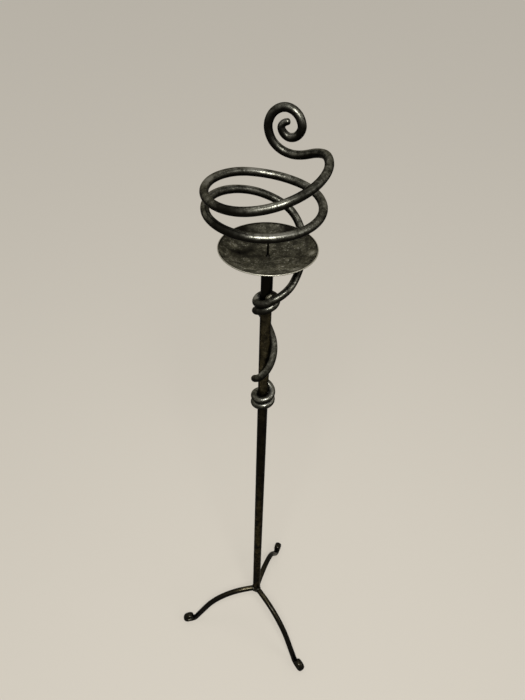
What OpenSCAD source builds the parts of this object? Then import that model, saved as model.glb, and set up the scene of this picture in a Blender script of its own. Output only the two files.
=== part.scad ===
// Torchere candle stand: a tall round pole on three arched legs, a shallow pan with a
// pricket for the candle, and one long bar that knots round the pole, coils round the
// candle and ends in a scroll. Millimetres, +Z up, standing on Z = 0.
// The origin lies on the floor at the middle of the footprint, so the pole stands
// a little to one side of it. The three legs were bent and welded by hand, so they
// differ a little in reach and in angle.

/* [Pole] */
// Outside diameter of the pole
pole_d = 20; // [16:0.5:22]
// Wall of the pole's tube
pole_wall = 2; // [1.5:0.5:3]
// Length of the plugs that close the tube's two ends
plug_len = 20; // [12:1:40]

/* [Legs] */
// Diameter of the bar that a leg is forged from
leg_d = 14.5; // [11:0.5:15]
// Width of that bar where it is hammered flat for the foot's curl
foot_w = 18; // [13:0.5:20]
// Thickness of the flattened bar where the curl starts
foot_t = 9; // [8:0.5:10]
// Thickness at the tip of the curl
toe_t = 6; // [5:0.5:7]
// Length of the level stretch of a leg, from the pole's axis
leg_out = 20; // [16:1:40]
// How much further the rear leg reaches than the left one, as hand made
rear_leg_more = 7; // [0:0.5:10]
// How much further the front leg reaches than the left one, as hand made
front_leg_more = 3; // [0:0.5:10]
// Radius of a leg's arch
arch_r = 145; // [110:5:180]
// Angle that the arch turns down through
arch_turn = 59; // [50:1:65]
// Length of the straight stretch below the arch
shin_len = 66; // [40:2:90]
// Length of bar that is rolled up in a foot's curl
curl_len = 56; // [54:1:80]
// Compass angle of the rear leg, counter-clockwise from +X
leg_turn = 71.5; // [55:0.5:85]
// How far the left leg stands off its third of the circle, as hand welded
left_leg_off = -1; // [-3:0.5:3]
// How far the front leg stands off its third of the circle
front_leg_off = -3; // [-4:0.5:3]
// Depth of the flat worn under each foot
foot_flat = 0.3; // [0.2:0.1:0.6]

/* [Coil bar] */
// Diameter of the long bar
bar_d = 13; // [10:0.5:13.5]
// Diameter at the tip of the top scroll
tip_d = 9; // [6:0.5:10]
// Gap between the bar's knots and the pole
wrap_gap = 0.6; // [0.5:0.1:1.5]
// Gap left between neighbouring rings of the lower knot
ring_gap = 3; // [2:0.5:6]
// Height of the lower knot
low_knot_z = 920; // [600:5:960]
// Height of the upper knot
high_knot_z = 1160; // [1140:5:1170]
// Clear gap between the coil and the pan's rim
coil_gap = 2.5; // [2:0.5:15]
// How far the coil's centre lies to the left of the pole
coil_left = 8; // [0:1:9]
// How far the coil's centre lies behind the pole
coil_back = 3; // [0:1:4]
// Height above the pan's rim of the coil's second turn, at its front left
coil_h = 100; // [95:1:140]
// Radius of the top scroll's outer turn, from its middle up to the bar's middle
scroll_r = 25; // [24:0.5:30]

/* [Candle pan] */
// Height of the pan's rim above the floor
rim_z = 1264; // [1255:1:1275]
// Diameter of the pan
pan_d = 158; // [130:1:180]
// Depth of the pan's hollow
pan_depth = 16; // [10:1:20]
// Thickness of the pan's sheet
pan_t = 2; // [1.5:0.1:2.5]
// Diameter of the flat seat in the middle of the pan
seat_d = 50; // [34:1:70]
// Diameter of the pricket
pricket_d = 3.2; // [2.5:0.1:5]
// Diameter of the pricket's stud, down in the pan's hole and the top plug
stud_d = 4.5; // [3.5:0.1:6]
// Height of the pricket above the seat
pricket_h = 36; // [20:1:45]
// Length of the pricket's point
point_h = 9; // [5:1:15]

/* [Fits and welds] */
// Clearance all round a plug in the tube and the pricket in its hole
fit_gap = 0.3; // [0.2:0.05:0.4]
// Width of the weld round each leg and under the pan
weld_w = 3; // [2:0.5:3.5]
// Radius of the tack weld that holds each knot
tack_r = 5; // [4:0.5:6]

/* [Hidden] */
$fn = 64;
bar_sides = 14;
leg_sides = 16;

// --- Legs: a path in the leg's own upright plane -------------------------------------
// Each row is a length of bar and the angle that it turns through, upwards positive:
// the level stretch, the arch, the shin, the bend to the floor, the sole and the curl.
leg_run = [
    [leg_out, 0], [arch_r * arch_turn * PI / 180, -arch_turn], [shin_len, 0],
    [curl_len * 0.27, arch_turn], [curl_len * 0.21, 0],
    [curl_len * 0.3, 110], [curl_len * 0.36, 80], [curl_len * 0.21, 110], [curl_len * 0.13, 90]
];
// Steps that each row is drawn in, and the bar's [thickness, width] at each row's end.
leg_steps = [3, 10, 5, 5, 2, 7, 7, 7, 4];
round_bar_size = [leg_d, leg_d];
flat_size = [foot_t, foot_w];
tip_size = [toe_t, foot_w * 0.8];
leg_sizes = [
    round_bar_size, round_bar_size, round_bar_size * 0.8 + flat_size * 0.2,
    round_bar_size * 0.3 + flat_size * 0.7, flat_size,
    flat_size, flat_size * 0.7 + tip_size * 0.3, flat_size * 0.3 + tip_size * 0.7, tip_size
];

// One small step per entry: [length, turn, [thickness, width] at its end].
leg_hops = [
    for (i = [0:len(leg_run) - 1], j = [1:leg_steps[i]])
        let (s0 = i == 0 ? round_bar_size : leg_sizes[i - 1])
        [leg_run[i][0] / leg_steps[i], leg_run[i][1] / leg_steps[i],
         s0 + (leg_sizes[i] - s0) * j / leg_steps[i]]
];
// Walk the steps: [distance out, height, heading, [thickness, width]] at each point.
leg_walk = [
    for (i = 0, p = [0, 0, 0, round_bar_size]; i <= len(leg_hops);
         p = i < len(leg_hops)
             ? let (h = leg_hops[i], a = p[2] + h[1] / 2)
               [p[0] + h[0] * cos(a), p[1] + h[0] * sin(a), p[2] + h[1], h[2]]
             : p,
         i = i + 1) p
];
// Height of the leg's level stretch: the foot's underside comes a flat's depth below Z = 0.
leg_z = -foot_flat - min([for (p = leg_walk) p[1] - p[3][0] / 2]);
foot_out = max([for (p = leg_walk) p[0] + p[3][0] / 2]);

// --- Footprint ----------------------------------------------------------------------
leg_angles = [leg_turn, leg_turn + 120 + left_leg_off, leg_turn + 240 + front_leg_off];
leg_more = [rear_leg_more, 0, front_leg_more];
// One side of a leg's toe, along the axis that f and g are the cosine and sine of.
function toe(i, f, g, side) =
    (foot_out + leg_more[i]) * f(leg_angles[i]) + side * foot_w / 2 * abs(g(leg_angles[i]));
// Middle of the feet's spread along that axis.
function span_mid(f, g) =
    (max([for (i = [0:2]) toe(i, f, g, 1)]) + min([for (i = [0:2]) toe(i, f, g, -1)])) / 2;
pole_x = -span_mid(function (a) cos(a), function (a) sin(a));
pole_y = -span_mid(function (a) sin(a), function (a) cos(a));

// --- Heights of the pole and the pan -------------------------------------------------
seat_z = rim_z - pan_depth;
pole_top = seat_z - pan_t;
// The tube's lower end shows this far below the legs' roots.
tube_drop = 2;
pole_foot = leg_z - leg_d / 2 - tube_drop;
bore_d = pole_d - 2 * pole_wall;
plug_d = bore_d - 2 * fit_gap;
hole_d = stud_d + 2 * fit_gap;
stud_foot = pole_top - plug_len * 2 / 3;
pan_r = pan_d / 2;
seat_r = seat_d / 2;

// --- Coil bar: stations along its length ---------------------------------------------
// Each row is [azimuth about the pole, spread, height]. Spread 0 is tight on the pole
// and spread 1 is out on the coil, whose centre is shifted by coil_left and coil_back.
wrap_r = pole_d / 2 + wrap_gap + bar_d / 2;
coil_r = pan_r + coil_gap + bar_d / 2;
ring = bar_d + ring_gap;
climb = high_knot_z - low_knot_z;

low_knot = [for (s = [
    [-1700, -0.5], [-1620, -0.3], [-1530, 0], [-1440, 0.2], [-1350, 0.55], [-1260, 0.8], [-1170, 1]
]) [s[0], 0, low_knot_z + s[1] * ring]];
climbing = [for (s = [
    [-1080, 0, 0.096], [-990, 0, 0.153], [-900, 0, 0.24], [-810, 0.004, 0.355],
    [-720, 0.01, 0.557], [-660, 0.005, 0.683], [-600, 0.002, 0.853], [-540, 0, 0.914]
]) [s[0], s[1], low_knot_z + s[2] * climb]];
high_knot = [for (s = [
    [-450, 0, -0.4], [-360, 0, 0.12], [-270, 0, 0.18], [-180, 0, -0.08], [-90, 0, 0.42], [-58, 0.04, 0.81]
]) [s[0], s[1], high_knot_z + s[2] * ring]];
riser_h = rim_z - high_knot_z;
riser = [for (s = [
    [-30, 0.14, 0.18], [-8, 0.29, 0.25], [13, 0.49, 0.34], [30, 0.79, 0.55], [43, 1.03, 0.84]
]) [s[0], s[1], high_knot_z + s[2] * riser_h]];
coil = [for (s = [
    [60, 1.05, 0.2], [90, 1, 0.44], [120, 1, 0.57], [150, 1, 0.64], [180, 1, 0.66], [210, 1, 0.66],
    [240, 1, 0.65], [270, 1, 0.64], [300, 1, 0.65], [330, 1, 0.67], [360, 1, 0.69], [390, 1, 0.72],
    [420, 1, 0.74], [450, 1, 0.79], [480, 1, 0.86], [510, 1, 0.9], [540, 1, 0.92], [570, 1, 0.94],
    [600, 1, 0.98], [630, 1, 1.07], [660, 1, 1.19], [690, 1, 1.29], [715, 1.03, 1.36], [733, 1.02, 1.39]
]) [s[0], s[1], rim_z + s[2] * coil_h]];
// The scroll stands on the back of the coil's circle. Its rows are [across, up] from its
// middle, in scroll radii.
scroll_at = 791;
scroll_z = rim_z + 1.58 * coil_h;
scroll = [for (s = [
    [-2.4, -1.08], [-1.6, -1.44], [-1.04, -1.64], [-0.48, -1.72], [0.12, -1.6], [0.64, -1.24],
    [0.96, -0.72], [1.08, -0.08], [0.88, 0.52], [0.48, 0.88], [0, 1], [-0.48, 0.88],
    [-0.88, 0.56], [-1.08, 0.08], [-0.96, -0.32], [-0.64, -0.64], [-0.2, -0.72], [0.16, -0.48],
    [0.28, -0.16], [0.12, 0.08], [-0.16, 0.2]
]) [scroll_at + s[0] * scroll_r / coil_r * 180 / PI, 1, scroll_z + s[1] * scroll_r]];

stations = concat(low_knot, climbing, high_knot, riser, coil, scroll);
last = len(stations) - 1;
// Rings drawn between two stations: more on the tight knots than on the open coil.
tight_count = len(low_knot) + len(climbing) + len(high_knot);
tight_steps = 6;
open_steps = 3;
function steps_after(i) = i < tight_count - 1 ? tight_steps : open_steps;

// A smooth curve through four neighbouring stations, t from 0 to 1 between b and c.
function blend(a, b, c, d, t) =
    0.5 * (2 * b + (c - a) * t + (2 * a - 5 * b + 4 * c - d) * t * t + (3 * b - a - 3 * c + d) * t * t * t);
function station(i) = i < 0 ? 2 * stations[0] - stations[1]
    : i > last ? 2 * stations[last] - stations[last - 1] : stations[i];
function place(s) = let (r = wrap_r + s[1] * (coil_r - wrap_r))
    [r * cos(s[0]) - s[1] * coil_left, r * sin(s[0]) + s[1] * coil_back, s[2]];
bar_points = [
    for (i = [0:last - 1], j = [0:steps_after(i) - 1])
        place(blend(station(i - 1), station(i), station(i + 1), station(i + 2), j / steps_after(i))),
    place(stations[last])
];
bar_last = len(bar_points) - 1;
// The bar tapers over its last rings to the scroll's tip.
taper_rings = 18;
bar_radii = [for (i = [0:bar_last])
    let (t = max(0, 1 - (bar_last - i) / taper_rings)) (bar_d + (tip_d - bar_d) * t * t) / 2 * [1, 1]];

// --- Swept round bars -----------------------------------------------------------------
function unit(v) = v / norm(v);
function heading(pts, i) = unit(pts[min(i + 1, len(pts) - 1)] - pts[max(i - 1, 0)]);
function square_to(n, t) = unit(n - (n * t) * t);
// One side direction per point, carried along the bar so that the facets don't twist.
function sides(pts, first) = [
    for (i = 0, n = square_to(first, heading(pts, 0)); i < len(pts);
         i = i + 1, n = i < len(pts) ? square_to(n, heading(pts, i)) : n) n
];
function ring_at(p, t, n, r, count) = let (b = cross(t, n))
    [for (k = [0:count - 1]) p + r[1] * cos(360 * k / count) * n + r[0] * sin(360 * k / count) * b];

// A round or oval bar with rounded-off ends: p points, t headings, n side directions and
// r half sizes, [square to n, along n].
end_reach = 0.35;
end_width = 0.7;
module round_bar(p, t, n, r, count) {
    m = len(p);
    function end_ring(i, way) =
        ring_at(p[i] + way * end_reach * r[i][0] * t[i], t[i], n[i], end_width * r[i], count);
    verts = concat(end_ring(0, -1), [for (i = [0:m - 1]) each ring_at(p[i], t[i], n[i], r[i], count)],
        end_ring(m - 1, 1));
    polyhedron(verts, concat(
        [[for (k = [0:count - 1]) k]],
        [for (i = [0:m], k = [0:count - 1]) let (a = i * count, b = a + count, q = (k + 1) % count)
            each [[a + k, b + k, a + q], [a + q, b + k, b + q]]],
        [[for (k = [count - 1:-1:0]) (m + 1) * count + k]]));
}

bar_headings = [for (i = [0:bar_last]) heading(bar_points, i)];
bar_sideways = sides(bar_points, [0, 0, 1]);
function slice(list, from, to) = [for (i = [from:to]) list[i]];
module bar_run(from, to) round_bar(slice(bar_points, from, to), slice(bar_headings, from, to),
    slice(bar_sideways, from, to), slice(bar_radii, from, to), bar_sides);

module at_pole(z = 0) translate([pole_x, pole_y, z]) children();
module iron() color([0.16, 0.15, 0.13]) children();

// --- Pole -----------------------------------------------------------------------------
module pole() iron() at_pole(pole_foot) difference() {
    cylinder(d = pole_d, h = pole_top - pole_foot);
    translate([0, 0, -pole_wall]) cylinder(d = bore_d, h = pole_top - pole_foot + 2 * pole_wall);
}

module top_plug() color([0.35, 0.34, 0.32]) at_pole(pole_top - plug_len) difference() {
    cylinder(d = plug_d, h = plug_len);
    translate([0, 0, plug_len / 3]) cylinder(d = hole_d, h = plug_len);
}

module bottom_plug() iron() at_pole(pole_foot) cylinder(d = plug_d, h = plug_len);

// --- Legs -----------------------------------------------------------------------------
// A leg's bar starts a little behind the pole's axis, so that its root fills the weld.
leg_root = [-leg_d / 8, 0, leg_z];
leg_halves = concat([round_bar_size / 2], [for (p = leg_walk) p[3] / 2]);
function leg_points(more) = concat([leg_root], [for (p = leg_walk) [p[0] + more, 0, p[1] + leg_z]]);
module leg_bar(i) rotate([0, 0, leg_angles[i]]) let (p = leg_points(leg_more[i]))
    round_bar(p, [for (k = [0:len(p) - 1]) heading(p, k)], [for (k = p) [0, 1, 0]], leg_halves, leg_sides);

module leg(i) iron() at_pole() difference() {
    leg_bar(i);
    cylinder(d = pole_d, h = rim_z);
    translate([-rim_z, -rim_z, -rim_z]) cube([2 * rim_z, 2 * rim_z, rim_z]);
}

module rear_leg() leg(0);
module left_leg() leg(1);
module front_leg() leg(2);

module leg_welds() iron() at_pole(leg_z) difference() {
    for (a = leg_angles) rotate([0, 90, a]) translate([0, 0, pole_d / 2 - pole_wall])
        cylinder(d1 = leg_d + 2 * weld_w, d2 = leg_d, h = weld_w + pole_wall);
    for (a = leg_angles) rotate([0, 90, a]) cylinder(d = leg_d, h = pole_d);
    translate([0, 0, -leg_z]) cylinder(d = pole_d, h = rim_z);
}

// --- Coil bar -------------------------------------------------------------------------
module coil_bar() iron() at_pole() bar_run(0, bar_last);

// A ball of weld on top of the bar beside the pole, cut to fit both: behind the pole on
// the lower knot and at the front right on the upper one. It sits a little nearer to the
// pole than the bar's middle is.
tack_inset = 0.8;
tack_reach = 9;
module tack_weld(i) iron() at_pole() difference() {
    translate([bar_points[i][0] * tack_inset, bar_points[i][1] * tack_inset, bar_points[i][2] + bar_d / 2])
        sphere(r = tack_r, $fn = 32);
    cylinder(d = pole_d, h = rim_z);
    bar_run(i - tack_reach, i + tack_reach);
}

module lower_tack_weld() tack_weld(tight_steps * 4);
module upper_tack_weld() tack_weld(tight_steps * (len(low_knot) + len(climbing) + 4) + 3);

// --- Candle pan -------------------------------------------------------------------------
// The bowl is an arc that starts level at the seat's edge and rises to the rolled lip.
bowl_w = pan_r - seat_r;
lip_slope = 2 * bowl_w * pan_depth / (bowl_w ^ 2 + pan_depth ^ 2);
lip_r = pan_r - pan_t / 2 * (1 + lip_slope);
bowl_r = ((lip_r - seat_r) ^ 2 + pan_depth ^ 2) / (2 * pan_depth);
bowl_turn = asin((lip_r - seat_r) / bowl_r);
function bowl_point(r, a) = [seat_r + r * sin(a), bowl_r - r * cos(a)];
function bowl_arc(r, from, to) = [for (i = [0:12]) bowl_point(r, from + (to - from) * i / 12)];

function lip_arc() = let (c = bowl_point(bowl_r + pan_t / 2, bowl_turn))
    [for (i = [1:7]) let (a = bowl_turn + 90 - i * 180 / 8) c + pan_t / 2 * [cos(a), sin(a)]];

module candle_pan() color([0.30, 0.29, 0.25]) at_pole(seat_z) rotate_extrude($fn = 128)
    polygon(concat(
        [[hole_d / 2, -pan_t], [hole_d / 2, 0]],
        bowl_arc(bowl_r, 0, bowl_turn),
        lip_arc(),
        bowl_arc(bowl_r + pan_t, bowl_turn, 0)));

module pan_weld() iron() at_pole(pole_top) rotate_extrude()
    polygon([[pole_d / 2, 0], [pole_d / 2 + weld_w, 0], [pole_d / 2, -weld_w]]);

// Width of the pricket's blunted tip.
blunt_d = 0.4;
module pricket() color([0.20, 0.19, 0.17]) at_pole() {
    shank_top = seat_z + pricket_h - point_h;
    translate([0, 0, stud_foot]) cylinder(d = stud_d, h = seat_z - stud_foot);
    translate([0, 0, seat_z]) cylinder(d = pricket_d, h = shank_top - seat_z);
    translate([0, 0, shank_top]) cylinder(d1 = pricket_d, d2 = blunt_d, h = point_h);
}

pole();
top_plug();
bottom_plug();
rear_leg();
left_leg();
front_leg();
leg_welds();
coil_bar();
lower_tack_weld();
upper_tack_weld();
candle_pan();
pan_weld();
pricket();
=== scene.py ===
import bpy
import bmesh
import math
from mathutils import Matrix, Vector, noise


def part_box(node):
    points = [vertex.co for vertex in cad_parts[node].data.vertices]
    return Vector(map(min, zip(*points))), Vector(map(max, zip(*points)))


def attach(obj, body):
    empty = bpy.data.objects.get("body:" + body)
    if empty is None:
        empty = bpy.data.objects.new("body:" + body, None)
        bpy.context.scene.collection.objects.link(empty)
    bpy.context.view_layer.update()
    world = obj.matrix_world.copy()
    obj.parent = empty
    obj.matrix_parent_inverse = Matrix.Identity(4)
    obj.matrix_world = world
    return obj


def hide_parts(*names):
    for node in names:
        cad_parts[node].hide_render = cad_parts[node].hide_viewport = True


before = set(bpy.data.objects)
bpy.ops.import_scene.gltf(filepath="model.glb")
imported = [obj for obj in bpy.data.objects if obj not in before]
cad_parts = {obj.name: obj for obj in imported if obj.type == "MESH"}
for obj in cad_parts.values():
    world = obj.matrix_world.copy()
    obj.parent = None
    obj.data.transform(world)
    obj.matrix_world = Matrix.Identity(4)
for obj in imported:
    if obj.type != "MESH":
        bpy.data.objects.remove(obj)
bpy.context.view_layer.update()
mm = 0.001

# the places that everything is set out from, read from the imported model
poleLow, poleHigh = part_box("pole")
poleRadius = (poleHigh.x - poleLow.x) / 2
poleX = (poleLow.x + poleHigh.x) / 2
poleY = (poleLow.y + poleHigh.y) / 2
panLow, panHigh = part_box("candle_pan")
panRadius = (panHigh.x - panLow.x) / 2
print("frame read: pole", round(poleRadius / mm, 2), "mm radius, pan", round(panRadius / mm, 1))


# the photograph's viewing angle, in metres from the pole's foot
cameraView = {
    "aside": -0.0036,       # from the pole's axis, to the right
    "back": 0.7655,         # in front of the pole
    "height": 1.7277,
    "pitch": 41.527,        # degrees below level
    "roll": 1.791,
    "lens": 29.11,
    "filmSide": 36,         # the long side that the lens is given for
    "sees": 100,            # how far the camera sees, in metres
}


def placeCamera(view):
    camera = bpy.data.objects.new("camera", bpy.data.cameras.new("camera"))
    bpy.context.scene.collection.objects.link(camera)
    camera.data.sensor_width = view["filmSide"]
    camera.data.lens = view["lens"]
    camera.data.clip_end = view["sees"]
    spot = Vector((poleX + view["aside"], poleY - view["back"], view["height"]))
    tilt = Matrix.Rotation(math.radians(90 - view["pitch"]), 4, "X")
    roll = Matrix.Rotation(math.radians(view["roll"]), 4, "Z")
    camera.matrix_world = Matrix.Translation(spot) @ tilt @ roll
    bpy.context.scene.camera = camera


# short ways to lay nodes, for the floor, the world and the finishes
def addNode(tree, kind, **settings):
    node = tree.nodes.new("ShaderNode" + kind)
    for name, value in settings.items():
        setattr(node, name, value)
    return node


def mathNode(tree, operation, first, second):
    result = addNode(tree, "Math", operation=operation)
    for place, value in enumerate((first, second)):
        if isinstance(value, (int, float)):
            result.inputs[place].default_value = value
        else:
            tree.links.new(value, result.inputs[place])
    return result.outputs[0]


# moves a value towards another one by a share from 0 to 1
def slideNode(tree, value, goal, share):
    gap = mathNode(tree, "SUBTRACT", goal, value)
    return mathNode(tree, "ADD", value, mathNode(tree, "MULTIPLY", share, gap))


def rangeNode(tree, value, start, end, toStart, toEnd):
    ramp = addNode(tree, "MapRange", interpolation_type="SMOOTHSTEP")
    ramp.inputs["From Min"].default_value = start
    ramp.inputs["From Max"].default_value = end
    ramp.inputs["To Min"].default_value = toStart
    ramp.inputs["To Max"].default_value = toEnd
    tree.links.new(value, ramp.inputs["Value"])
    return ramp.outputs["Result"]


# grain is the noise's detail, roughness and distortion
def noiseNode(tree, where, size, grain):
    cloud = addNode(tree, "TexNoise")
    cloud.inputs["Scale"].default_value = 1 / size
    for name, value in zip(("Detail", "Roughness", "Distortion"), grain):
        cloud.inputs[name].default_value = value
    tree.links.new(where, cloud.inputs["Vector"])
    return cloud.outputs["Fac"]


def mixColour(tree, factor, first, second):
    blend = addNode(tree, "Mix", data_type="RGBA")
    tree.links.new(factor, blend.inputs["Factor"])
    for name, value in (("A", first), ("B", second)):
        socket = [s for s in blend.inputs if s.name == name and s.type == "RGBA"][0]
        if isinstance(value, tuple):
            socket.default_value = (*value, 1)
        else:
            tree.links.new(value, socket)
    return [s for s in blend.outputs if s.type == "RGBA"][0]


def mixShaders(tree, share, first, second):
    blend = addNode(tree, "MixShader")
    for place, source in enumerate((share, first, second)):
        tree.links.new(source, blend.inputs[place])
    return blend.outputs[0]


# 1 where the camera, a gloss or a clear thing sees the backdrop, 0 where it only lights
def seenRay(tree):
    path = addNode(tree, "LightPath")
    seen = mathNode(tree, "MAXIMUM", path.outputs["Is Camera Ray"], path.outputs["Is Glossy Ray"])
    return mathNode(tree, "MAXIMUM", seen, path.outputs["Is Transmission Ray"])


studio = {
    "floorSize": 60.0,
    "floorColour": (0.60, 0.56, 0.49),
    "floorRough": 0.9,
    "floorGloss": 0.1,
    "floorGlow": 0.60,                  # share of the floor that shows the sky's colour unlit
    "skyColour": (0.66, 0.615, 0.535),  # what shows past the floor, and in the iron's gloss
    "fill": 0.28,                       # strength of the all-round light
    "fillColour": (1.0, 0.985, 0.96),
    "lampColour": (1.0, 0.985, 0.955),
    "lampAim": 1.25,                    # the height that the lamps point at
    # each lamp: place from the pole's foot, width and height, power
    "lamps": {
        "roomLamp": ((0.05, -1.15, 2.55), 0.90, 0.55, 60.0),
        "softTop": ((-1.2, 1.2, 8.0), 4.0, 4.0, 70.0),
        "softSide": ((4.5, -1.5, 4.0), 2.2, 2.2, 50.0),
    },
}


def layFloor(look):
    half = look["floorSize"] / 2
    corners = [(-half, -half, 0), (half, -half, 0), (half, half, 0), (-half, half, 0)]
    data = bpy.data.meshes.new("floor")
    data.from_pydata(corners, [], [(0, 1, 2, 3)])
    floor = bpy.data.objects.new("floor", data)
    bpy.context.scene.collection.objects.link(floor)
    paint = bpy.data.materials.new("paleFloor")
    paint.use_nodes = True
    tree = paint.node_tree
    shader = tree.nodes["Principled BSDF"]
    shader.inputs["Base Color"].default_value = (*look["floorColour"], 1)
    shader.inputs["Roughness"].default_value = look["floorRough"]
    shader.inputs["Specular IOR Level"].default_value = look["floorGloss"]
    glow = addNode(tree, "Emission")
    glow.inputs["Color"].default_value = (*look["skyColour"], 1)
    share = mathNode(tree, "MULTIPLY", seenRay(tree), look["floorGlow"])
    surface = mixShaders(tree, share, shader.outputs[0], glow.outputs[0])
    tree.links.new(surface, tree.nodes["Material Output"].inputs["Surface"])
    data.materials.append(paint)


def hangBackdrop(look):
    world = bpy.data.worlds.new("softRoom")
    world.use_nodes = True
    bpy.context.scene.world = world
    tree = world.node_tree
    tree.nodes.clear()
    shown = addNode(tree, "Background")
    shown.inputs["Color"].default_value = (*look["skyColour"], 1)
    fill = addNode(tree, "Background")
    fill.inputs["Color"].default_value = (*look["fillColour"], 1)
    fill.inputs["Strength"].default_value = look["fill"]
    surface = mixShaders(tree, seenRay(tree), fill.outputs[0], shown.outputs[0])
    tree.links.new(surface, addNode(tree, "OutputWorld").inputs["Surface"])


def hangLamps(look):
    poleFoot = Vector((poleX, poleY, 0))
    aim = poleFoot + Vector((0, 0, look["lampAim"]))
    for name, (place, width, height, power) in look["lamps"].items():
        lamp = bpy.data.objects.new(name, bpy.data.lights.new(name, "AREA"))
        bpy.context.scene.collection.objects.link(lamp)
        lamp.data.shape = "RECTANGLE"
        lamp.data.size = width
        lamp.data.size_y = height
        lamp.data.energy = power
        lamp.data.color = look["lampColour"]
        lamp.location = poleFoot + Vector(place)
        lamp.rotation_euler = (aim - lamp.location).to_track_quat("-Z", "Y").to_euler()


placeCamera(cameraView)
layFloor(studio)
hangBackdrop(studio)
hangLamps(studio)
bpy.context.scene.view_settings.view_transform = "Standard"
print("camera, floor and light placed")


blackIron = {
    "dark": (0.0045, 0.0041, 0.0030),
    "middle": (0.100, 0.100, 0.083),
    "silver": (0.30, 0.30, 0.28),
    "patchSize": 8 * mm,
    "patchGrain": (8, 0.66, 0.25),
    "patchLow": 0.36,
    "patchHigh": 0.63,
    "patchFloor": 0.25,         # how much of the wear shows between the patches
    "fleckSize": 2.0 * mm,
    "fleckGrain": (4, 0.70, 0.0),
    "fleckStart": 0.52,
    "fleckFull": 0.70,
    "fleckFade": 1.6,           # how fast the flecks fade where the iron is less worn
    "skinSize": 3.4 * mm,
    "skinGrain": (3, 0.55, 0.0),
    "skinDepth": 0.03 * mm,
    "skinFleck": 0.3,           # share of the flecks in the skin's unevenness
    "skinStrength": (0.8, 0.2),     # on worn iron, and on iron rubbed bright or given a painted highlight
    "skinFade": (0.9, 1.6),         # the wear between which it falls
    "sheenWear": (1.0, 1.7),       # the wear between which patches give way to polish and painted highlight
    "sheenLevel": 1.1,
    "mostLevel": 1.2,
    "rubbedSheen": 0.50,             # how silver a place is that is rubbed bright or painted as a highlight
    "roughDark": 0.36,
    "roughWorn": 0.32,
    "roughFleck": 0.04,         # how much a fleck takes off the roughness, or a gap adds
    "roughRange": (0.3, 0.7),   # the flecks' noise between a gap and a fleck
    "metal": 0.96,
    "edgeTint": (0.30, 0.29, 0.26),
    "gloss": 0.25,
    "lacquer": 0.04,
    "lacquerRough": 0.25,
}
panIron = dict(blackIron)
panIron.update({
    "dark": (0.0065, 0.0058, 0.0042),
    "middle": (0.150, 0.146, 0.108),
    "silver": (0.85, 0.83, 0.74),
    "patchSize": 9 * mm,
    "patchLow": 0.40,
    "patchHigh": 0.62,
    "patchFloor": 0.30,
    "fleckSize": 2.6 * mm,
    "fleckStart": 0.54,
    "fleckFull": 0.67,
    "skinDepth": 0.14 * mm,
    "rubbedSheen": 0.25,
    "roughDark": 0.46,
    "roughWorn": 0.42,
    "metal": 0.92,
    "lacquer": 0.02,
})
poleIron = dict(blackIron)
poleIron.update({
    # the olive-brown tint of these colours is a painted reflection of a brown floor
    "dark": (0.0035, 0.0030, 0.0018),
    "middle": (0.064, 0.054, 0.029),
    "silver": (0.20, 0.185, 0.13),
})
legIron = dict(poleIron)
legIron.update({
    "lacquer": 0.13,
    "lacquerRough": 0.12,
})
darkSteel = dict(blackIron)
darkSteel.update({
    "middle": (0.030, 0.028, 0.022),
    "silver": (0.14, 0.135, 0.12),
    "lacquer": 0.06,
})


# Black iron, worn to dull pewter in patches and fine flecks. Each mesh says how worn a place is
# in its point attribute "wear", together with painted highlight and painted shade.
def ironMaterial(name, look):
    material = bpy.data.materials.new(name)
    material.use_nodes = True
    tree = material.node_tree
    shader = tree.nodes["Principled BSDF"]
    where = addNode(tree, "TexCoord").outputs["Object"]
    wear = addNode(tree, "Attribute", attribute_name="wear").outputs["Fac"]

    patches = noiseNode(tree, where, look["patchSize"], look["patchGrain"])
    flecks = noiseNode(tree, where, look["fleckSize"], look["fleckGrain"])
    skin = noiseNode(tree, where, look["skinSize"], look["skinGrain"])

    patchMask = rangeNode(tree, patches, look["patchLow"], look["patchHigh"],
                          look["patchFloor"], 1)
    fleckMask = rangeNode(tree, flecks, look["fleckStart"], look["fleckFull"], 0, 1)
    # rubbed bright places, painted highlights among them, turn smooth and silver
    rubbedSheen = rangeNode(tree, wear, *look["sheenWear"], 0, 1)
    level = mathNode(tree, "MULTIPLY", wear, patchMask)
    level = slideNode(tree, level, look["sheenLevel"], rubbedSheen)
    level = mathNode(tree, "MINIMUM", level, look["mostLevel"])
    fleckMask = slideNode(tree, fleckMask, look["rubbedSheen"], rubbedSheen)
    fade = mathNode(tree, "POWER", level, look["fleckFade"])
    fleckLevel = mathNode(tree, "MULTIPLY", fleckMask, fade)

    ground = mixColour(tree, level, look["dark"], look["middle"])
    colour = mixColour(tree, fleckLevel, ground, look["silver"])
    tree.links.new(colour, shader.inputs["Base Color"])

    rough = rangeNode(tree, level, 0, 1, look["roughDark"], look["roughWorn"])
    change = look["roughFleck"]
    fleckRough = rangeNode(tree, flecks, *look["roughRange"], change, -change)
    rough = mathNode(tree, "ADD", rough, fleckRough)
    tree.links.new(rough, shader.inputs["Roughness"])

    fleckHeight = mathNode(tree, "MULTIPLY", flecks, look["skinFleck"])
    bump = addNode(tree, "Bump")
    strength = rangeNode(tree, wear, *look["skinFade"], *look["skinStrength"])
    tree.links.new(strength, bump.inputs["Strength"])
    bump.inputs["Distance"].default_value = look["skinDepth"]
    tree.links.new(mathNode(tree, "ADD", skin, fleckHeight), bump.inputs["Height"])
    tree.links.new(bump.outputs["Normal"], shader.inputs["Normal"])
    shader.inputs["Metallic"].default_value = look["metal"]
    shader.inputs["Specular Tint"].default_value = (*look["edgeTint"], 1)
    shader.inputs["Specular IOR Level"].default_value = look["gloss"]
    shader.inputs["Coat Weight"].default_value = look["lacquer"]
    shader.inputs["Coat Roughness"].default_value = look["lacquerRough"]
    return material


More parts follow.
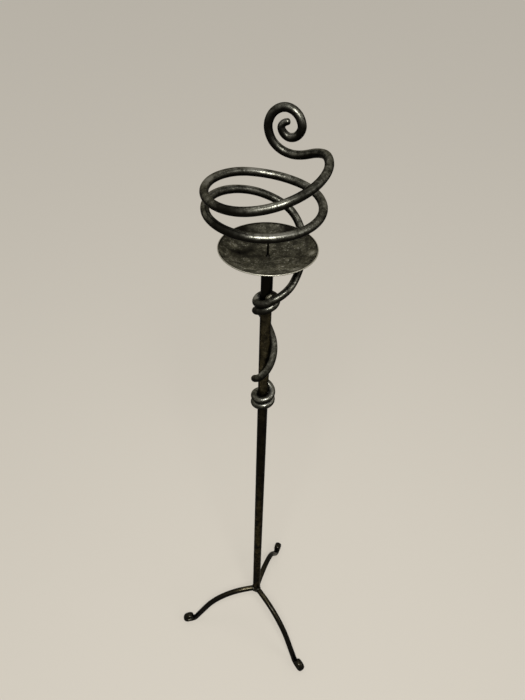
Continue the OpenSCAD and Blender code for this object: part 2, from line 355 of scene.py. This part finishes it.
ironFinish = ironMaterial("hammeredIron", blackIron)
poleFinish = ironMaterial("poleIron", poleIron)
legFinish = ironMaterial("legIron", legIron)
panFinish = ironMaterial("panIron", panIron)
steelFinish = ironMaterial("plainSteel", darkSteel)
print("finishes mixed")


mostWearAndLight = 1.9      # as bright as a rubbed place or a painted highlight gets
markReach = 0.6     # radius of a hammer mark, as a share of the pitch


def smoothShare(value, low, high):
    share = max(0.0, min(1.0, (value - low) / (high - low)))
    return share * share * (3 - 2 * share)


# reads a row of (place, value) pairs, with a straight line between two of them
def valueAt(place, pairs):
    for (low, lowValue), (high, highValue) in zip(pairs, pairs[1:]):
        if place <= high:
            share = max(0.0, (place - low) / (high - low))
            return lowValue + (highValue - lowValue) * share
    return pairs[-1][1]


def outwardAt(turn):
    return Vector((math.cos(turn), math.sin(turn), 0))


def fromPole(point):
    return Vector((point.x - poleX, point.y - poleY, 0))


# 1 at a place, given in mm from the pole's foot, and falling off over size mm
def nearness(point, place, size):
    x, y, z = place
    away = ((point.x - poleX) / mm - x) ** 2 + ((point.y - poleY) / mm - y) ** 2
    away += (point.z / mm - z) ** 2
    return math.exp(-away / size ** 2)


def hammerMark(point, pitch):
    nearest = noise.voronoi(point / pitch)[0][0]
    return -max(0.0, 1 - (nearest / markReach) ** 2)


def readPoints(mesh):
    return [v.co.copy() for v in mesh.vertices], [v.normal.copy() for v in mesh.vertices]


# Gives each point its wear and painted light: 0 is black, 1 is worn in patches, more is rubbed
# bright or a painted highlight.
def markWearAndLight(mesh, rule):
    points, normals = readPoints(mesh)
    values = [max(0.0, min(mostWearAndLight, rule(p, n))) for p, n in zip(points, normals)]
    mesh.attributes.new("wear", "FLOAT", "POINT").data.foreach_set("value", values)


def finishPiece(name, mesh, material, nodes):
    for polygon in mesh.polygons:
        polygon.use_smooth = True
    mesh.materials.clear()
    mesh.materials.append(material)
    piece = bpy.data.objects.new(name, mesh)
    bpy.context.scene.collection.objects.link(piece)
    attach(piece, "root")
    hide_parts(*nodes)


# Rings of points become a mesh. Each ring is closed, and so is the row of rings if loop
# is set. Otherwise both end rings can be capped.
def meshFromRings(name, rings, loop=False, capEnds=False):
    count = len(rings[0])
    corners = [p for ring in rings for p in ring]
    faces = []
    for i in range(len(rings) if loop else len(rings) - 1):
        a = i * count
        b = (i + 1) % len(rings) * count
        faces += [(a + k, a + (k + 1) % count, b + (k + 1) % count, b + k) for k in range(count)]
    if capEnds:
        faces.append(tuple(reversed(range(count))))
        faces.append(tuple((len(rings) - 1) * count + k for k in range(count)))
    mesh = bpy.data.meshes.new(name)
    mesh.from_pydata(corners, [], faces)
    turner = bmesh.new()
    turner.from_mesh(mesh)
    bmesh.ops.recalc_face_normals(turner, faces=turner.faces)
    turner.to_mesh(mesh)
    turner.free()
    mesh.update()
    return mesh


forgedBar = {
    "sameWithin": 0.01 * mm,     # facet corners closer than this are one
    "joinAngles": (30, 50),      # degrees, for making squares of the CAD's triangles
    "smoothing": 2,              # times that the facets are halved
    "regain": 0.45 * mm,         # moved out again all round, as smoothing shrinks the bar
    "markPitch": 9 * mm,
    "markDepth": 0.07 * mm,
    "markFade": (0.8, 1.4, 0.9),     # the wear between which marks fade, and by how much
    "bendPitch": 40 * mm,
    "bendDepth": 0.25 * mm,
    "worn": 0.95,                # usual wear and painted light of a top side
    "wornDrift": 0.6,            # how much it comes and goes along the bar
    "driftPitch": 28 * mm,
    "topLightFrom": -0.15,           # how far up a side must face before it is worn and painted lighter
    "topLightFull": 0.90,
    "leastTop": 0.06,            # wear that is left on the blackest top side
    "leastWear": 0.02,           # and all round
    # where the bar lies closer to the pole: place, size, how far (all mm)
    "pulledIn": (17, 3, 1056, 26, 1.0),
    # spots of wear, painted highlight and painted shade: place from the pole's foot, size (mm),
    # wear
    "wearAndLightSpots": (
        # the lower turn
        (-60, 70, 1324, 26, 0.45), (-85, 35, 1329, 30, 0.15), (-56, -68, 1329, 34, -0.95),
        (0, -86, 1326, 27, 0.55), (36, -80, 1330, 18, 0.50), (60, -52, 1330, 14, -0.20),
        (77, -10, 1332, 26, 0.15), (59, 59, 1336, 18, 0.32), (46, 67, 1340, 14, -0.35),
        (8, 90, 1301, 18, -0.30),
        # the upper turn
        (-22, 90, 1345, 20, 0.95), (-92, 10, 1355, 34, 0.30), (-56, -68, 1364, 24, -0.60),
        (4, -83, 1374, 17, 0.28), (38, -74, 1385, 24, -0.85), (70, 42, 1397, 26, 0.30),
        (54, 64, 1386, 14, 0.45),
        # the scroll
        (18, 87, 1382, 12, -0.70), (6, 88, 1388, 12, 0.30), (-5, 91, 1424, 26, -0.40),
        (18, 86, 1447, 14, -0.80), (46, 76, 1424, 18, -0.40), (33, 80, 1405, 9, 1.60),
        (39, 77, 1409, 8, 1.30), (19, 86, 1408, 9, -1.20), (17, 87, 1424, 6, 2.10),
        # both knots, the climb beside the pole, and the rise behind the pan
        (0, 0, 932, 26, 0.42), (4, -16, 1008, 14, 1.40), (19, 0, 1052, 30, 0.65),
        (0, 0, 1160, 22, -0.90), (-10, -14, 1158, 12, -0.60), (-17, 3, 1163, 8, 2.40),
        (10, -15, 1160, 8, 0.60), (26, -10, 1179, 16, -0.15), (50, 20, 1201, 14, -0.95),
        (60, 50, 1235, 22, 0.35)),
}
forgedLeg = dict(forgedBar)
forgedLeg.update({
    "regain": 0.25 * mm,
    # painted highlight: only the very tops of the legs are lit
    "topLightFrom": 0.55,
    "topLightFull": 0.97,
    # painted highlights on the tops of the three roots, close to the pole
    "wearAndLightSpots": ((-28, -6, 139, 20, 2.8), (18, -24, 139, 22, 2.6), (8, 24, 139, 26, 1.5)),
})


def smoothCopy(name, facets, look):
    mesh = bmesh.new()
    mesh.from_mesh(facets)
    bmesh.ops.remove_doubles(mesh, verts=mesh.verts, dist=look["sameWithin"])
    faceAngle, shapeAngle = (math.radians(angle) for angle in look["joinAngles"])
    bmesh.ops.join_triangles(mesh, faces=mesh.faces, angle_face_threshold=faceAngle,
                             angle_shape_threshold=shapeAngle)
    data = bpy.data.meshes.new(name + "Facets")
    mesh.to_mesh(data)
    mesh.free()
    draft = bpy.data.objects.new(name + "Draft", data)
    bpy.context.scene.collection.objects.link(draft)
    smoother = draft.modifiers.new("smooth", "SUBSURF")
    smoother.levels = look["smoothing"]
    smoother.render_levels = look["smoothing"]
    ready = draft.evaluated_get(bpy.context.evaluated_depsgraph_get())
    skin = bpy.data.meshes.new_from_object(ready)
    bpy.data.objects.remove(draft)
    return skin


# Wear that grows from the underside to the top, and comes and goes along the bar: the growth to the
# top is painted light, with undersides left dark as painted shade.
def wearAndTopLight(point, normal, look):
    top = look["worn"] + look["wornDrift"] * noise.noise(point / look["driftPitch"])
    # spots of painted highlight and painted shade, with some wear
    for x, y, z, size, weight in look["wearAndLightSpots"]:
        top += weight * nearness(point, (x, y, z), size)
    # painted light: the more a side faces up, the lighter it is painted
    facing = smoothShare(normal.z, look["topLightFrom"], look["topLightFull"])
    return facing * max(look["leastTop"], top) + look["leastWear"]


# A smooth copy of a faceted CAD node, with hammer marks.
def forgedSkin(name, nodeName, look, finish, wear=1.0):
    skin = smoothCopy(name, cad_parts[nodeName].data, look)
    fadeFrom, fadeFull, fade = look["markFade"]
    pullX, pullY, pullZ, pullSize, pull = look["pulledIn"]
    points, normals = readPoints(skin)
    for index, (point, normal) in enumerate(zip(points, normals)):
        rubbedSheen = smoothShare(wear * wearAndTopLight(point, normal, look), fadeFrom, fadeFull)
        mark = look["markDepth"] * hammerMark(point, look["markPitch"]) * (1 - fade * rubbedSheen)
        wave = look["bendDepth"] * noise.noise(point / look["bendPitch"])
        moved = point + normal * (look["regain"] + mark + wave)
        moved.z = max(moved.z, 0)
        near = nearness(moved, (pullX, pullY, pullZ), pullSize)
        skin.vertices[index].co = moved - fromPole(moved).normalized() * pull * mm * near
    skin.update()
    markWearAndLight(skin, lambda point, normal: wear * wearAndTopLight(point, normal, look))
    finishPiece(name, skin, finish, [nodeName])


forgedSkin("coilBar", "coil_bar", forgedBar, ironFinish)
print("coil bar forged")
for legName in ("rear", "left", "front"):
    forgedSkin(legName + "Leg", legName + "_leg", forgedLeg, legFinish, wear=0.20)
print("legs forged")


# Turns a profile of (radius, height) round the pole's axis, and moves each point by a rule.
def turned(profile, sides, move):
    rings = []
    for row, (radius, height) in enumerate(profile):
        ring = []
        for k in range(sides):
            turn = 2 * math.pi * k / sides
            x = poleX + radius * math.cos(turn)
            y = poleY + radius * math.sin(turn)
            ring.append(move(Vector((x, y, height)), turn, row))
        rings.append(ring)
    return rings


poleTube = {
    "sides": 56,
    "rowLength": 5 * mm,
    "wall": 2 * mm,
    "edge": 0.6 * mm,            # rounding of the sawn ends
    "edgeCut": 0.3,              # how deep its middle cuts into the corner, as a share
    "dentPitch": 30 * mm,
    "dentDepth": 0.12 * mm,
    "patchDrift": 1.1,           # how much the wear comes and goes
    "patchPitch": 13 * mm,
    "patchStretch": 0.6,         # below 1, the patches are longer than they are wide
    # how worn it is at some heights, in metres above the floor, partly painted light: black under
    # the pan as painted shade, lighter low down as a painted floor reflection
    "wearAndShadeAtHeight": ((0.10, 0.62), (0.52, 0.52), (0.66, 0.16), (0.90, 0.14), (0.96, 0.50),
                     (1.13, 0.46), (1.17, 0.0), (1.30, 0.0)),
}


def buildPole(look):
    low = poleLow.z
    high = poleHigh.z
    outer = poleRadius
    inner = poleRadius - look["wall"]
    edge = look["edge"]
    cut = edge * look["edgeCut"]
    rows = int((high - low) / look["rowLength"])
    profile = [(outer, low + edge + (high - low - 2 * edge) * i / rows) for i in range(rows + 1)]
    profile += [(outer - cut, high - cut), (outer - edge, high), (inner + edge, high),
                (inner, high - edge), (inner, (low + high) / 2), (inner, low + edge),
                (inner + edge, low), (outer - edge, low), (outer - cut, low + cut)]

    def dent(point, turn, row):
        if row > rows:      # the ends and the bore stay true
            return point
        depth = look["dentDepth"] * abs(noise.noise(point / look["dentPitch"]))
        return point - outwardAt(turn) * depth

    def worn(point, normal):
        place = Vector((point.x, point.y, point.z * look["patchStretch"]))
        patch = 1 + look["patchDrift"] * noise.noise(place / look["patchPitch"])
        # painted shade under the pan, painted floor reflection low down
        return valueAt(point.z, look["wearAndShadeAtHeight"]) * patch

    mesh = meshFromRings("pole", turned(profile, look["sides"], dent), loop=True)
    markWearAndLight(mesh, worn)
    finishPiece("pole", mesh, poleFinish, ["pole"])


buildPole(poleTube)
print("pole turned")


dishPan = {
    "sides": 192,
    "seatRows": 12,
    "bowlRows": 44,
    "lipRows": 8,
    "sheet": 2 * mm,
    "depth": 16 * mm,
    "seatRadius": 25 * mm,
    "holeRadius": 2.55 * mm,
    "markPitch": 8.5 * mm,
    "markDepth": 0.22 * mm,
    "ringPitch": 5.2 * mm,       # faint rings left by spinning the sheet
    "ringDepth": 0.05 * mm,
    "wavePitch": 60 * mm,
    "waveDepth": 0.5 * mm,
    "calmSeat": (10 * mm, 50 * mm),     # unbeaten inside the first radius, fully beaten
                                        # from the second one out
    "calmLip": 3 * mm,           # and smooth again this close to the lip
    # how worn it is, and where light and shade are painted, with its lengths in mm
    "worn": 0.66,
    "paintedFrontLight": 0.006,          # painted light: lighter for each mm towards the front
    "wornDrift": 0.30,
    "driftPitch": 20,
    "ringWear": 0.10,            # worn rings, where a noise of their own lets them show
    "ringWearStep": 2.6,         # they are 2 pi times this apart
    "ringDriftPitch": 24,
    "ringDriftSlice": 40,        # the height at which that noise is read
    "ringShown": 0.15,
    "lipFrom": 0.1,              # how far past the bowl's edge the lip's wear and painted highlight start
    # the lip's top and edge: wear and a painted highlight; its underside is painted shade
    "lipWearAndSheen": 1.8,
    "lipUnderShade": 0.05,
    "lipFacing": -0.1,           # normals steeper down than this are the lip's underside
    "lipShadowWidth": 1.6,          # painted shadow: a black line inside the lip
    "lipShadowDark": 0.45,
    "underFacing": -0.2,         # and steeper down than this, the pan's
    "underWear": 0.1,
    # worn and darkened places: across and back from the middle, size, more or less wear
    "blotches": ((-54, 19, 9, 0.80), (-36, 27, 5, 0.60), (-63, 8, 11, -0.30),
                 (-44, 4, 12, -0.50), (-28, 9, 15, -0.45), (-8, 24, 11, 0.20),
                 (8, 20, 12, 0.30), (27, 28, 14, 0.20), (47, 24, 14, 0.12),
                 (32, -8, 6, 0.45), (50, -12, 11, -0.45), (68, -5, 7, 0.75),
                 (-52, -28, 12, 0.30), (-25, -44, 12, 0.30), (13, -46, 12, 0.25),
                 (44, -50, 9, 0.60), (-4, -16, 15, -0.25), (0, 60, 13, 0.30),
                 (-38, 58, 16, -0.35), (35, 56, 14, -0.35)),
}


# The pan's profile, from the hole out over the top, round the lip and back underneath.
def panProfile(look, lipRadius):
    seatRadius, holeRadius, sheet = look["seatRadius"], look["holeRadius"], look["sheet"]
    seatZ = panHigh.z - look["depth"]
    across = lipRadius - seatRadius
    arc = (across ** 2 + look["depth"] ** 2) / (2 * look["depth"])
    turnEnd = math.asin(across / arc)

    def onBowl(radius, turn):
        return seatRadius + radius * math.sin(turn), seatZ + arc - radius * math.cos(turn)

    def side(radius, level):
        rows = look["seatRows"]
        flat = [(holeRadius + (seatRadius - holeRadius) * i / rows, level) for i in range(rows)]
        rows = look["bowlRows"]
        return flat + [onBowl(radius, turnEnd * i / rows) for i in range(rows + 1)]

    middle = onBowl(arc + sheet / 2, turnEnd)
    lip = []
    for i in range(1, look["lipRows"]):
        turn = turnEnd + math.pi / 2 - math.pi * i / look["lipRows"]
        lip.append((middle[0] + sheet / 2 * math.cos(turn), middle[1] + sheet / 2 * math.sin(turn)))
    under = side(arc + sheet, seatZ - sheet)
    return side(arc, seatZ) + lip + list(reversed(under))


def buildPan(look):
    bowlWidth = panRadius - look["seatRadius"]
    slope = 2 * bowlWidth * look["depth"] / (bowlWidth ** 2 + look["depth"] ** 2)
    lipRadius = panRadius - look["sheet"] / 2 * (1 + slope)
    calmFrom, calmTo = look["calmSeat"]

    def beaten(point, turn, row):
        out = fromPole(point)
        share = max(0.0, min(1.0, (out.length - calmFrom) / (calmTo - calmFrom)))
        share *= 1 - smoothShare(out.length, lipRadius - look["calmLip"], lipRadius)
        lift = look["markDepth"] * hammerMark(out, look["markPitch"])
        lift += look["ringDepth"] * math.sin(2 * math.pi * out.length / look["ringPitch"])
        lift += look["waveDepth"] * noise.noise(out / look["wavePitch"])
        return point + Vector((0, 0, min(lift * share, panHigh.z - point.z)))

    def worn(point, normal):
        x = (point.x - poleX) / mm
        y = (point.y - poleY) / mm
        radius = math.hypot(x, y)
        # painted highlight on the lip's top and edge, painted shade under it
        if radius > lipRadius / mm + look["lipFrom"]:
            return look["lipWearAndSheen"] if normal.z > look["lipFacing"] else look["lipUnderShade"]
        if normal.z <= look["underFacing"]:
            return look["underWear"]
        # painted light: lighter towards the front
        share = look["worn"] - look["paintedFrontLight"] * y
        share += look["wornDrift"] * noise.noise(Vector((x, y, 0)) / look["driftPitch"])
        for centreX, centreY, size, weight in look["blotches"]:
            share += weight * math.exp(-((x - centreX) ** 2 + (y - centreY) ** 2) / size ** 2)
        drift = noise.noise(Vector((x, y, look["ringDriftSlice"])) / look["ringDriftPitch"])
        rings = look["ringWear"] * math.sin(radius / look["ringWearStep"])
        share += rings * max(0.0, drift + look["ringShown"])
        # painted shadow: a black line inside the lip
        if radius > lipRadius / mm - look["lipShadowWidth"]:
            share -= look["lipShadowDark"]
        return share

    profile = panProfile(look, lipRadius)
    mesh = meshFromRings("pan", turned(profile, look["sides"], beaten), loop=True)
    markWearAndLight(mesh, worn)
    finishPiece("candlePan", mesh, panFinish, ["candle_pan"])


buildPan(dishPan)
print("pan beaten")


spike = {
    "sides": 28,
    "capRadius": 0.3 * mm,       # of the small flat that closes the stud's end
    "studRadius": 2.25 * mm,
    "studEdge": 0.4 * mm,
    "studTop": 0.2 * mm,         # how far below the seat the stud ends
    "collarRadius": 3.6 * mm,
    "collarFoot": 0.15 * mm,     # how far above the seat the collar is widest
    "collarStart": 0.3 * mm,     # and where its curve starts
    "collarHeight": 2.2 * mm,
    "collarCurve": 2.2,
    "collarRows": 6,
    "shankRadius": 1.6 * mm,
    "shankFlare": 0.06,          # how much thicker the shank's foot is
    "shankRows": 14,
    "pointLength": 9 * mm,
    "pointCurve": 1.15,
    "pointRows": 8,
    "tipRadius": 0.2 * mm,
    "tipEnd": 0.4,               # the flat on the tip, as a share of the tip's radius
    "tipStart": 0.985,           # share of the point's length where the tip is rounded off
    "skinPitch": 3 * mm,
    "skinDepth": 0.08 * mm,
    "wear": 0.1,
    "pointWear": 0.5,
}


def buildPricket(look):
    low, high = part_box("pricket")
    seatZ = panHigh.z - dishPan["depth"]
    shankTop = high.z - look["pointLength"]
    stud, shank, collar = look["studRadius"], look["shankRadius"], look["collarRadius"]
    foot = shank * (1 + look["shankFlare"])
    profile = [(look["capRadius"], low.z), (stud - look["studEdge"], low.z),
               (stud, low.z + look["studEdge"]), (stud, seatZ - look["studTop"]),
               (collar, seatZ + look["collarFoot"])]
    for i in range(look["collarRows"] + 1):
        share = i / look["collarRows"]
        profile.append((foot + (collar - foot) * (1 - share) ** look["collarCurve"],
                        seatZ + look["collarStart"] + look["collarHeight"] * share))
    start = profile[-1][1]
    for i in range(1, look["shankRows"] + 1):
        share = i / look["shankRows"]
        profile.append((foot + (shank - foot) * share, start + (shankTop - start) * share))
    for i in range(1, look["pointRows"] + 1):
        share = i / look["pointRows"]
        profile.append((shank + (look["tipRadius"] - shank) * share ** look["pointCurve"],
                        shankTop + look["pointLength"] * look["tipStart"] * share))
    profile.append((look["tipRadius"] * look["tipEnd"], high.z))

    def forged(point, turn, row):
        return point + outwardAt(turn) * look["skinDepth"] * noise.noise(point / look["skinPitch"])

    def worn(point, normal):
        return look["wear"] + look["pointWear"] * max(0, (point.z - shankTop) / look["pointLength"])

    mesh = meshFromRings("pricket", turned(profile, look["sides"], forged), capEnds=True)
    markWearAndLight(mesh, worn)
    finishPiece("pricket", mesh, steelFinish, ["pricket"])


buildPricket(spike)
print("pricket forged")


weldBead = {
    "sides": 14,
    "ripple": 0.10,              # share of the bead's radius
    "ripplePitch": 2.3 * mm,
    "lump": 0.10,
    "lumpPitch": 4 * mm,
    "legRadius": 1.75 * mm,
    "legPath": 7.75 * mm,        # radius of the bead's circle round a leg
    "legStandOff": 0.5 * mm,     # how far the middle of a bead stands off the pole
    "legSteps": 96,
    "footTop": 40 * mm,          # what a leg has below this says which way it points
    "panRadius": 1.6 * mm,
    "panStandOff": 0.9 * mm,
    "panSteps": 120,
    # the beads that hold the knots: radius, half length (degrees), drop from the node's
    # top, rise for each radian
    "lower": (3.4 * mm, 27, 6.4 * mm, 3.0 * mm),
    "upper": (4.4 * mm, 24, 4.6 * mm, 11.0 * mm),
    "tackStandOff": 3.1 * mm,
    "tackEnds": 0.12,            # thickness of their ends, as a share
    "tackSteps": 32,
    "worn": 0.25,
    # more wear and painted light on a bead's top, painted shade underneath
    "topWearAndLight": 0.35,
    "wornDrift": 0.4,
    "driftPitch": 6 * mm,
}


# A bead along a path of points, each with its outward direction and its share of the radius.
def beadRings(path, radius, look, closed):
    rings = []
    travelled = 0.0
    for i, (point, out, share) in enumerate(path):
        after = path[(i + 1) % len(path)][0] if closed or i + 1 < len(path) else point
        before = path[i - 1][0] if closed or i > 0 else point
        along = (after - before).normalized()
        out = (out - along * out.dot(along)).normalized()
        across = along.cross(out)
        if i:
            travelled += (point - path[i - 1][0]).length
        ripple = look["ripple"] * (0.5 - travelled / look["ripplePitch"] % 1.0)
        lump = look["lump"] * noise.noise(point / look["lumpPitch"])
        size = radius * share * (1 + ripple + lump)
        ring = []
        for k in range(look["sides"]):
            turn = 2 * math.pi * k / look["sides"]
            ring.append(point + size * (math.cos(turn) * out + math.sin(turn) * across))
        rings.append(ring)
    return rings


def joinMeshes(name, meshes):
    whole = bmesh.new()
    for mesh in meshes:
        whole.from_mesh(mesh)
        bpy.data.meshes.remove(mesh)
    data = bpy.data.meshes.new(name)
    whole.to_mesh(data)
    whole.free()
    return data


def finishBead(name, mesh, nodeName, look, finish, more=0.0):
    def worn(point, normal):
        drift = look["wornDrift"] * noise.noise(point / look["driftPitch"])
        # lighter on top as painted light, darker underneath as painted shade
        return more + look["worn"] + look["topWearAndLight"] * normal.z + drift

    markWearAndLight(mesh, worn)
    finishPiece(name, mesh, finish, [nodeName])


def buildLegWelds(look):
    low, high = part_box("leg_welds")
    beads = []
    for legName in ("rear", "left", "front"):
        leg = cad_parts[legName + "_leg"].data
        foot = [v.co for v in leg.vertices if v.co.z < look["footTop"]]
        toe = fromPole(sum(foot, Vector()) / len(foot))
        heading = math.atan2(toe.y, toe.x)
        outward = outwardAt(heading)
        aside = Vector((-math.sin(heading), math.cos(heading), 0))
        path = []
        for i in range(look["legSteps"]):
            turn = 2 * math.pi * i / look["legSteps"]
            y = look["legPath"] * math.sin(turn)
            z = look["legPath"] * math.cos(turn)
            x = math.sqrt((poleRadius + look["legStandOff"]) ** 2 - y ** 2)
            point = Vector((poleX, poleY, (low.z + high.z) / 2 + z)) + outward * x + aside * y
            facing = outward + aside * math.sin(turn) + Vector((0, 0, math.cos(turn)))
            path.append((point, facing, 1.0))
        rings = beadRings(path, look["legRadius"], look, True)
        beads.append(meshFromRings("bead", rings, loop=True))
    finishBead("legWelds", joinMeshes("legWelds", beads), "leg_welds", look, ironFinish)


def buildPanWeld(look):
    standOff = look["panStandOff"]
    middle = Vector((poleX, poleY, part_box("pan_weld")[1].z - standOff))
    path = []
    for i in range(look["panSteps"]):
        outward = outwardAt(2 * math.pi * i / look["panSteps"])
        path.append((middle + outward * (poleRadius + standOff), outward, 1.0))
    mesh = meshFromRings("panWeld", beadRings(path, look["panRadius"], look, True), loop=True)
    finishBead("panWeld", mesh, "pan_weld", look, ironFinish)


def buildTack(which, look, finish, more):
    nodeName = which + "_tack_weld"
    radius, halfTurn, drop, rise = look[which]
    halfTurn = math.radians(halfTurn)
    low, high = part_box(nodeName)
    middle = fromPole((low + high) / 2)
    heading = math.atan2(middle.y, middle.x)
    path = []
    for i in range(look["tackSteps"] + 1):
        aside = -1 + 2 * i / look["tackSteps"]
        outward = outwardAt(heading + halfTurn * aside)
        point = Vector((poleX, poleY, high.z - drop + rise * halfTurn * aside))
        point += outward * (poleRadius + look["tackStandOff"])
        path.append((point, outward, max(look["tackEnds"], math.sqrt(1 - aside ** 2))))
    mesh = meshFromRings(which + "Tack", beadRings(path, radius, look, False), capEnds=True)
    finishBead(which + "TackWeld", mesh, nodeName, look, finish, more)


buildLegWelds(weldBead)
buildPanWeld(weldBead)
buildTack("lower", weldBead, ironFinish, more=0.25)
buildTack("upper", weldBead, panFinish, more=-0.1)
print("welds laid")

# The plugs keep their own shape: only their finish changes.
for nodeName, finish in (("top_plug", steelFinish), ("bottom_plug", ironFinish)):
    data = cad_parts[nodeName].data
    for place in range(len(data.materials)):
        data.materials[place] = finish
print("plugs painted")

bpy.context.view_layer.update()
print("scene ready")
